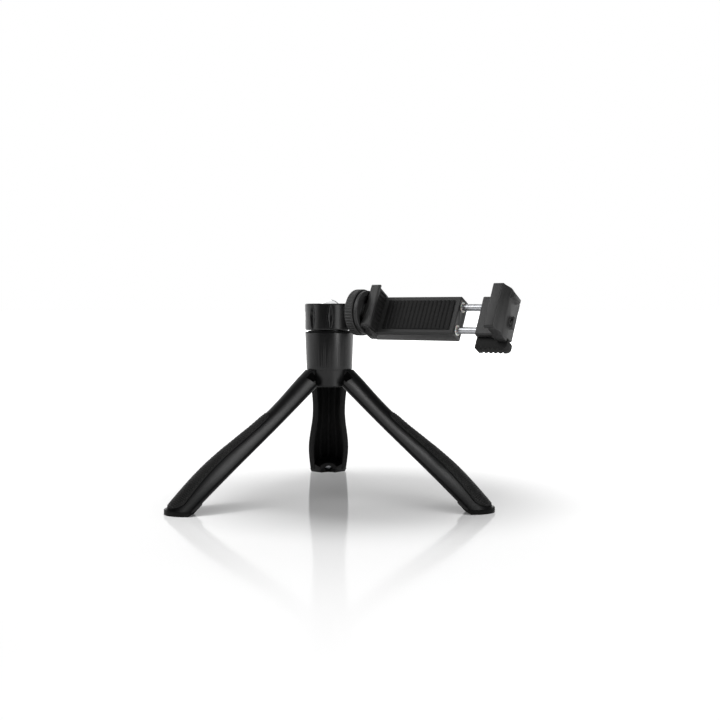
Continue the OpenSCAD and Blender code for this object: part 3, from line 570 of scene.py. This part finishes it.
def stud_tree(material):
    """Sets a low six-sided stud on each point, looking the way that the point says."""
    tree = bpy.data.node_groups.new("grip studs", "GeometryNodeTree")
    face = tree.interface
    face.new_socket("Points", in_out="INPUT", socket_type="NodeSocketGeometry")
    for label, value in STUD_SIZES.items():
        face.new_socket(label, in_out="INPUT", socket_type="NodeSocketFloat").default_value = value * MM
    face.new_socket("Studs", in_out="OUTPUT", socket_type="NodeSocketGeometry")
    new = tree.nodes.new
    given, made = new("NodeGroupInput"), new("NodeGroupOutput")
    stud = new("GeometryNodeMeshCone")
    stud.inputs["Vertices"].default_value = 6
    tree.links.new(given.outputs["Stud radius"], stud.inputs["Radius Bottom"])
    tree.links.new(given.outputs["Top radius"], stud.inputs["Radius Top"])
    tree.links.new(given.outputs["Stud height"], stud.inputs["Depth"])
    turned = None
    for label, axis, pivot in (("way", "Z", "AUTO"), ("along", "X", "Z")):
        read = new("GeometryNodeInputNamedAttribute")
        read.data_type = "FLOAT_VECTOR"
        read.inputs["Name"].default_value = label
        align = new("FunctionNodeAlignRotationToVector")
        align.axis, align.pivot_axis = axis, pivot
        tree.links.new(read.outputs["Attribute"], align.inputs["Vector"])
        if turned:
            tree.links.new(turned.outputs["Rotation"], align.inputs["Rotation"])
        turned = align
    spread, real, paint = (new("GeometryNodeInstanceOnPoints"), new("GeometryNodeRealizeInstances"),
                           new("GeometryNodeSetMaterial"))
    paint.inputs["Material"].default_value = material
    for out, into in ((given.outputs["Points"], spread.inputs["Points"]),
                      (stud.outputs["Mesh"], spread.inputs["Instance"]),
                      (turned.outputs["Rotation"], spread.inputs["Rotation"]),
                      (spread.outputs["Instances"], real.inputs["Geometry"]),
                      (real.outputs["Geometry"], paint.inputs["Geometry"]),
                      (paint.outputs["Geometry"], made.inputs["Studs"])):
        tree.links.new(out, into)
    return tree


def grow(points_mesh, tree, values):
    """The mesh that a tree makes of some points, with its named inputs set."""
    piece = placed("work", points_mesh)
    modifier = piece.modifiers.new("grow", "NODES")
    modifier.node_group = tree
    for item in tree.interface.items_tree:
        if item.in_out == "INPUT" and item.name in values:
            modifier[item.identifier] = values[item.name] * MM
    return settled(piece)


STUDS = stud_tree(FINISH["grip_rubber"])
for side, angle in LEGS.items():
    points, ways, alongs = grip_points(leg_place(angle))
    cloud = bpy.data.meshes.new(side + "_grip_cells")
    cloud.from_pydata([p * MM for p in points], [], [])
    for label, vectors in (("way", ways), ("along", alongs)):
        data = cloud.attributes.new(label, "FLOAT_VECTOR", "POINT").data
        data.foreach_set("vector", [c for v in vectors for c in v])
    finished(side + "_grip_studs", grow(cloud, STUDS, STUD_SIZES), side + "_leg", "grip_rubber")


# Turned pieces: the stud with its thread, and the screws


def spun(rows, place, around, pitch=0.0, thread=(0.0, 0.0), depth=0.0, bored=False):
    """A closed turned form about X from rows of X and radius, which come back inside it where it is bored.

    Between the thread's ends a helix is cut into it.
    """
    root_end, flank_end = 0.1, 0.5
    form = bmesh.new()
    rings = []
    for x, radius in rows:
        ring = []
        for k in range(around):
            angle = 2 * math.pi * k / around
            r = radius
            if pitch and thread[0] <= x <= thread[1]:
                phase = (x / pitch - k / around) % 1
                run_in = min(1, (x - thread[0]) / pitch, (thread[1] - x) / pitch)
                flank = (flank_end - abs(2 * phase - 1)) / (flank_end - root_end)
                r -= depth * run_in * min(1, max(0, flank))
            ring.append(form.verts.new(place @ Vector((x, r * math.cos(angle), r * math.sin(angle))) * MM))
        rings.append(ring)
    skin(form, rings, closed=bored)
    if not bored:
        form.faces.new(reversed(rings[0]))
        form.faces.new(rings[-1])
    bmesh.ops.recalc_face_normals(form, faces=form.faces)
    return form


def to_mesh(name, *forms):
    """One smooth mesh of some bmesh forms."""
    sharp_a = 38
    whole = bmesh.new()
    for form in forms:
        part = released(form, "part")
        whole.from_mesh(part)
        bpy.data.meshes.remove(part)
    mesh = released(whole, name)
    mesh.shade_smooth()
    mesh.set_sharp_from_angle(angle=math.radians(sharp_a))
    return mesh


def arc(x0, r0, radius, first, last, steps):
    """Rows of X and radius along an arc about a point, with its angles measured from X."""
    return [(x0 + radius * math.cos(math.radians(first + (last - first) * i / steps)),
             r0 + radius * math.sin(math.radians(first + (last - first) * i / steps))) for i in range(steps + 1)]


BALL_R, NECK_STEM_R, FLANGE_R, FLANGE_X, FLANGE_T = 7.0, 2.5, 4.8, 13.6, 1.6
NECK_END_X, NECK_FLARE_R, FLANGE_EDGE, UNDERCUT_R, UNDERCUT_L = 12.9, 2.9, 0.4, 2.6, 0.5
THREAD_R, THREAD_PITCH, THREAD_DEPTH, THREAD_STEPS, STUD_END, STUD_POINT = 3.175, 1.27, 0.6, 10, 28.9, 0.5
THREAD_FROM, THREAD_END_GAP = FLANGE_X + FLANGE_T + 0.7, 0.3
# The ball's outline starts just off the axis, and rows a hair apart make a face square to it
BALL_FROM_A, HAIR = 179.5, 0.02


def stud_rows():
    """The stud's outline: ball, neck, flange with rounded edges, undercut and threaded end."""
    neck_a = math.degrees(math.asin(NECK_STEM_R / BALL_R))
    flange_end = FLANGE_X + FLANGE_T
    rows = arc(0, 0, BALL_R, BALL_FROM_A, neck_a, 40)
    rows += [(NECK_END_X, NECK_STEM_R), (FLANGE_X, NECK_FLARE_R), (FLANGE_X + HAIR, FLANGE_R - FLANGE_EDGE)]
    rows += arc(FLANGE_X + FLANGE_EDGE, FLANGE_R - FLANGE_EDGE, FLANGE_EDGE, 180, 90, 4)[1:]
    rows += arc(flange_end - FLANGE_EDGE, FLANGE_R - FLANGE_EDGE, FLANGE_EDGE, 90, 0, 4)
    rows += [(flange_end + HAIR, UNDERCUT_R), (flange_end + UNDERCUT_L, UNDERCUT_R)]
    rows += [(THREAD_FROM + i * THREAD_PITCH / THREAD_STEPS, THREAD_R)
             for i in range(int((STUD_END - STUD_POINT - THREAD_FROM) / THREAD_PITCH * THREAD_STEPS))]
    return rows + [(STUD_END, THREAD_R - STUD_POINT)]


def turned_piece(name, form, body, finish, node):
    """A turned form in the scene, in place of its CAD node."""
    finished(name, to_mesh(name, form), body, finish, [node])


turned_piece("ball_stud_turned", spun(stud_rows(), STUD_PLACE, 48, THREAD_PITCH,
                                      (THREAD_FROM, STUD_END - THREAD_END_GAP), THREAD_DEPTH),
             "stud", "chrome", "ball_stud")

# Thread insert: a brass tube with a flange against the jaw's wall
INSERT_X, INSERT_R, LIP_R, LIP_T, BORE_R = 25.6, 4.6, 5.15, 0.8, 3.3
BORE_EDGE, TUBE_EDGE, LIP_EDGE = 0.35, 0.3, 0.15
insert_rows = [(INSERT_X, BORE_R + BORE_EDGE), (INSERT_X, INSERT_R - TUBE_EDGE), (INSERT_X + TUBE_EDGE, INSERT_R),
               (WALL_IN_X - LIP_T, INSERT_R), (WALL_IN_X - LIP_T, LIP_R), (WALL_IN_X - LIP_EDGE, LIP_R),
               (WALL_IN_X, LIP_R - LIP_EDGE), (WALL_IN_X, BORE_R + BORE_EDGE), (WALL_IN_X - BORE_EDGE, BORE_R),
               (INSERT_X + BORE_EDGE, BORE_R)]
turned_piece("thread_insert_turned", spun(insert_rows, CLAMP_PLACE, 64, bored=True),
             "clamp", "brass", "thread_insert")


def screw(place, head_r, head_t, shaft_r, length):
    """A screw along X with a domed head that looks back along X and has a cross in it."""
    around, steps, slot_w, slot_r, slot_d = 64, 14, 0.24 * head_r, 0.62 * head_r, 0.42 * head_t
    dome_r, dome_t, rim_t, slot_slope = 0.94 * head_r, 0.28 * head_t, 0.42 * head_t, 0.3
    point_l, point_r = 0.4, 0.55 * shaft_r
    form = bmesh.new()

    def ring(x, r, cut=False):
        loop = []
        for k in range(around):
            a = 2 * math.pi * k / around
            y, z = r * math.cos(a), r * math.sin(a)
            sink = 0.0
            if cut and r < slot_r:
                sink = slot_d * min(1, max(0, (slot_w - min(abs(y), abs(z))) / (slot_slope * slot_w)))
            loop.append(form.verts.new(place @ Vector((x + sink, y, z)) * MM))
        return loop

    rings = [ring(dome_t * (i / steps) ** 2, dome_r * i / steps, True) for i in range(1, steps + 1)]
    rings += [ring(rim_t, head_r), ring(head_t, head_r), ring(head_t, shaft_r), ring(length - point_l, shaft_r),
              ring(length, point_r)]
    middle = form.verts.new(place @ Vector((slot_d, 0, 0)) * MM)
    for k in range(around):
        form.faces.new((middle, rings[0][k], rings[0][(k + 1) % around]))
    skin(form, rings)
    form.faces.new(rings[-1])
    bmesh.ops.recalc_face_normals(form, faces=form.faces)
    return form


# Screws: head radius, head thickness, shaft radius, and length where it is one for all
FOOT_SCREW_S, FOOT_D, LEG_WALL, FOOT_SCREW = 100.56, 7.4, 1.8, (2.0, 1.2, 1.0)
BACK_Y, COVER_SCREW, COVER_SCREWS = 14.5, (1.8, 0.8, 0.9, 6.5), ((28.4, -4.9), (28.4, 8.1), (70.55, 1.6))
BOLT_DROP, CENTER_BOLT = 9.1, (3.6, 2.4, 2.0, 25.2)
for side, angle in LEGS.items():
    seat = leg_place(angle) @ shift(handle_r(FOOT_SCREW_S) - FOOT_D, 0, RIM_Z - FOOT_SCREW_S)
    turned_piece(side + "_foot_screw_turned", screw(seat, *FOOT_SCREW, FOOT_D - LEG_WALL),
                 side + "_leg", "steel", side + "_foot_screw")
cover_screws = [screw(CLAMP_PLACE @ shift(x, BACK_Y, z) @ turn(-90, "Z"), *COVER_SCREW) for x, z in COVER_SCREWS]
finished("cover_screws_turned", to_mesh("cover_screws_turned", *cover_screws), "clamp", "steel", ["cover_screws"])
turned_piece("center_bolt_turned", screw(AXIS_PLACE @ shift(0, 0, RIM_Z - BOLT_DROP) @ turn(-90, "Y"), *CENTER_BOLT),
             "hub", "steel", "center_bolt")

# Dark washer in the gap between the hub and the collar
WASHER_IN_R, WASHER_R, WASHER_FROM, WASHER_TO, WASHER_EDGE_R, WASHER_EDGE = 9.0, 11.5, 0.02, 0.55, 0.2, (0.2, 0.4)
washer_rows = [(WASHER_FROM, WASHER_IN_R), (WASHER_FROM, WASHER_R - WASHER_EDGE_R), (WASHER_EDGE[0], WASHER_R),
               (WASHER_EDGE[1], WASHER_R), (WASHER_TO, WASHER_R - WASHER_EDGE_R), (WASHER_TO, WASHER_IN_R)]
washer = spun(washer_rows, AXIS_PLACE @ shift(0, 0, DRUM_TOP_Z) @ turn(-90, "Y"), 72, bored=True)
finished("collar_washer", to_mesh("collar_washer", washer), "hub", "black_matte")


# A copy of the return springs, on the clamp


def squashed_springs():
    """A copy of the springs on the clamp, in place of their CAD node."""
    slide = next(joint for joint in record["behaviour"]["joints"] if joint["name"] == "jaw_slide")
    way = Vector(slide["axis"]).normalized()
    springs = finished("return_springs_squashed", clean_copy("return_springs"), "clamp", SLOT["return_springs"],
                       ["return_springs"])
    ends = sorted((vertex.co @ way, vertex.index) for vertex in springs.data.vertices)
    length = ends[-1][0] - ends[0][0]
    1 - slide["range_m"][1] / length
    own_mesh(springs)


squashed_springs()


# Studio: a plain pale floor, soft lights and the camera

# Metres: how far the floor reaches, and the depth from which the camera sees it
FLOOR_REACH, CAMERA_SEES_FROM_Y = 30.0, -0.36
# Millimetres and degrees
CAMERA_PLACE, CAMERA_YAW, CAMERA_PITCH = (AXIS[0] - 5.19, AXIS[1] - 550.75, 102.27), 2.26, 2.9
FOCAL_PIXELS, FRAME_PIXELS, SENSOR_MM = 1020.19, 720, 36.0


def floor_finish():
    """Pale and a little glossy, with a faint glow that grows with the distance from the tripod."""
    glow_near, glow_round, glow_far, scale = 0.25, 1.0, 4.5, 0.8
    f = Finish("pale floor", Base_Color=grey(0.93), Roughness=0.1, Specular_IOR_Level=0.35, Emission_Strength=0.24)
    wide = f.add("ShaderNodeMapping", None, {"Vector": f.place(), "Scale": (scale, scale, scale)})
    near = f.add("ShaderNodeTexGradient", {"gradient_type": "SPHERICAL"}, {"Vector": wide})
    far = 1 - near
    f.feed("Emission Color", f.mix(far * far, f.mix(near, grey(glow_round), grey(glow_near)), grey(glow_far)))
    return f.material


def floor(name, front, back, finish):
    """A stretch of the floor, from one depth to another, far to both sides."""
    mesh = bpy.data.meshes.new(name)
    corners = [(-FLOOR_REACH, front, 0), (FLOOR_REACH, front, 0), (FLOOR_REACH, back, 0), (-FLOOR_REACH, back, 0)]
    mesh.from_pydata(corners, [], [range(4)])
    mesh.materials.append(finish)
    obj = placed(name, mesh)
    return obj


def group(name, pieces):
    """A collection that a lamp uses to say what it lights, or what may shade it."""
    made = bpy.data.collections.new(name)
    for piece in pieces:
        made.objects.link(piece)
    return made


def lamp(name, place, target, width, height, power, lights, shaded_by):
    """A soft rectangular light that shines from one place at another, on some of the pieces.

    The floor's gloss doesn't mirror the lamps that light it.
    """
    data = bpy.data.lights.new(name, "AREA")
    data.shape, data.size, data.size_y, data.energy = "RECTANGLE", width, height, power
    obj = placed(name, data)
    way = Vector(target) - Vector(place)
    obj.matrix_world = Matrix.Translation(place) @ way.to_track_quat("-Z", "Y").to_matrix().to_4x4()
    obj.visible_camera = False
    obj.visible_glossy = ground not in lights
    obj.light_linking.receiver_collection = group(name + " lights", lights)
    obj.light_linking.blocker_collection = group(name + " shade", shaded_by)


def flag(x, y, z, radius):
    """A round card above the tripod, out of sight, that softens the light on the floor under it."""
    around = 40
    mesh = bpy.data.meshes.new("flag")
    turns = [2 * math.pi * k / around for k in range(around)]
    mesh.from_pydata([(x + radius * math.cos(t), y + radius * math.sin(t), z) for t in turns], [], [range(around)])
    mesh.materials.append(FINISH["inside"])
    obj = placed("flag", mesh)
    obj.visible_camera = obj.visible_glossy = obj.visible_diffuse = obj.visible_transmission = False
    return obj


def studio_world():
    """A pale room: bright low behind the tripod, dimmer above it and dark in front of it."""
    world = bpy.data.worlds.new("studio")
    world.use_nodes = True
    bpy.context.scene.world = world
    tree = world.node_tree
    new, links = tree.nodes.new, tree.links
    back = tree.nodes["Background"]
    coord, split = new("ShaderNodeTexCoord"), new("ShaderNodeSeparateXYZ")
    links.new(coord.outputs["Generated"], split.inputs[0])
    levels = []
    for way, span in (("Y", (-0.3, 0.45, 0.025, 1.08)), ("Z", (0.1, 0.36, 1.0, 0.05))):
        level = new("ShaderNodeMapRange")
        level.interpolation_type = "SMOOTHSTEP"
        for key, value in zip(("From Min", "From Max", "To Min", "To Max"), span):
            level.inputs[key].default_value = value
        links.new(split.outputs[way], level.inputs["Value"])
        levels.append(level.outputs["Result"])
    both = new("ShaderNodeMath")
    both.operation = "MULTIPLY"
    links.new(levels[0], both.inputs[0])
    links.new(levels[1], both.inputs[1])
    # The camera itself sees plain white
    seen, pick = new("ShaderNodeLightPath"), new("ShaderNodeMix")
    pick.data_type = "FLOAT"
    links.new(seen.outputs["Is Camera Ray"], pick.inputs[0])
    links.new(both.outputs[0], pick.inputs[2])
    pick.inputs[3].default_value = 1.0
    links.new(pick.outputs[0], back.inputs["Strength"])
    back.inputs["Color"].default_value = (1, 1, 1, 1)


def camera():
    """The camera of the photograph, found from the sizes of what it shows."""
    data = bpy.data.cameras.new("camera")
    data.sensor_width = SENSOR_MM
    data.lens = SENSOR_MM * FOCAL_PIXELS / FRAME_PIXELS
    data.clip_start, data.clip_end = 0.01, 50
    obj = placed("camera", data)
    obj.matrix_world = (Matrix.Translation([v * MM for v in CAMERA_PLACE])
                        @ turn(-CAMERA_YAW, "Z") @ turn(90 - CAMERA_PITCH, "X"))
    bpy.context.scene.camera = obj


def riding(bodies):
    """The pieces that ride some bodies."""
    return [piece for body in bodies for piece in RIDERS[body]]


pale = floor_finish()
ground = floor("floor", CAMERA_SEES_FROM_Y, FLOOR_REACH, pale)
# The floor's front part shows from the other sides only, and throws no light on the tripod
apron = floor("floor in front", -FLOOR_REACH, CAMERA_SEES_FROM_Y, pale)
apron.visible_diffuse = apron.visible_glossy = apron.visible_transmission = apron.visible_shadow = False
studio_world()
card = flag(x=0.02, y=-0.012, z=0.25, radius=0.066)

ALL = tuple(RIDERS)
HUB, COLLAR, STUD, HEAD = ("hub",), ("collar",), ("stud",), ("wheel", "clamp", "jaw")
LEFT, RIGHT, BACK = ("left_leg",), ("right_leg",), ("back_leg",)
STRIP_AT, OVER_AT, BEHIND_AT, MIDDLE = (0.44, -0.565, 0.12), (0.0, -0.42, 0.85), (-0.25, 0.7, 0.6), (0.0, 0.0, 0.06)
# Each lamp, in metres: name, place, target, width, height, watts, the bodies that it lights and those that may
# shade them
LAMPS = (
    ("strip", STRIP_AT, (0.0, 0.0, 0.09), 0.24, 0.9, 3.9, STUD + HEAD, ALL),
    ("hub strip", (0.43, -0.575, 0.12), (0.0, 0.0, 0.09), 0.15, 0.9, 3.0, HUB, ALL),
    ("collar strip", STRIP_AT, (0.0, 0.0, 0.09), 0.24, 0.9, 2.4, COLLAR, COLLAR + HUB),
    ("side", (-0.75, -0.2, 0.32), (0.0, 0.0, 0.07), 0.5, 0.8, 1.2, HUB + STUD + HEAD, ALL),
    ("collar side", (-0.75, -0.25, 0.2), (0.0, 0.0, 0.1), 0.4, 0.8, 1.7, COLLAR, COLLAR + HUB),
    ("overhead", OVER_AT, MIDDLE, 1.1, 0.8, 2.4, COLLAR + STUD + HEAD + LEFT + RIGHT, ALL),
    ("hub overhead", OVER_AT, MIDDLE, 1.1, 0.8, 0.6, HUB, ALL),
    ("left leg light", (-0.13, -0.26, 0.85), (-0.04, -0.04, 0.04), 0.34, 0.7, 1.9, LEFT, ALL),
    ("right leg light", (0.22, -0.2, 0.85), (0.04, -0.04, 0.04), 0.34, 0.7, 2.3, RIGHT, ALL),
    ("jaw light", (-0.6, -0.1, 0.65), (0.03, -0.02, 0.1), 0.5, 0.5, 3.0, HEAD, ALL),
    ("ball light", (0.0, -0.05, 0.75), (0.0, -0.0143, 0.1), 2.0, 2.0, 12.0, STUD, STUD),
    ("back light", BEHIND_AT, MIDDLE, 0.7, 0.7, 2.2, COLLAR + STUD + HEAD, ALL),
    ("hub from behind", BEHIND_AT, MIDDLE, 0.7, 0.7, 0.6, HUB, ALL),
    ("legs from behind", BEHIND_AT, MIDDLE, 0.7, 0.7, 0.4, LEFT + RIGHT, ALL),
    ("back leg light", (0.12, 0.3, 0.8), (0.0, 0.05, 0.04), 0.5, 0.6, 2.6, BACK, ALL),
)
for *row, lit, shading in LAMPS:
    lamp(*row, riding(lit), riding(shading))
# Lamps for the floor alone, aimed at its middle, in metres: name, place, width, height, watts and what may shade it
FLOOR_LAMPS = (
    ("floor overhead", (0.0, -0.42, 0.95), 1.1, 0.8, 4.0, riding(ALL)),
    ("floor light", (0.05, 0.12, 1.0), 0.5, 0.5, 3.2, riding(LEFT + RIGHT) + [card]),
    ("floor spot", (0.03, -0.02, 0.9), 0.16, 0.16, 4.6, riding(LEFT + RIGHT) + [card]),
)
for name, place, width, height, power, shaded_by in FLOOR_LAMPS:
    lamp(name, place, (0.0, 0.0, 0.0), width, height, power, [ground, apron], shaded_by)
camera()
bpy.context.scene.view_settings.view_transform = "Standard"
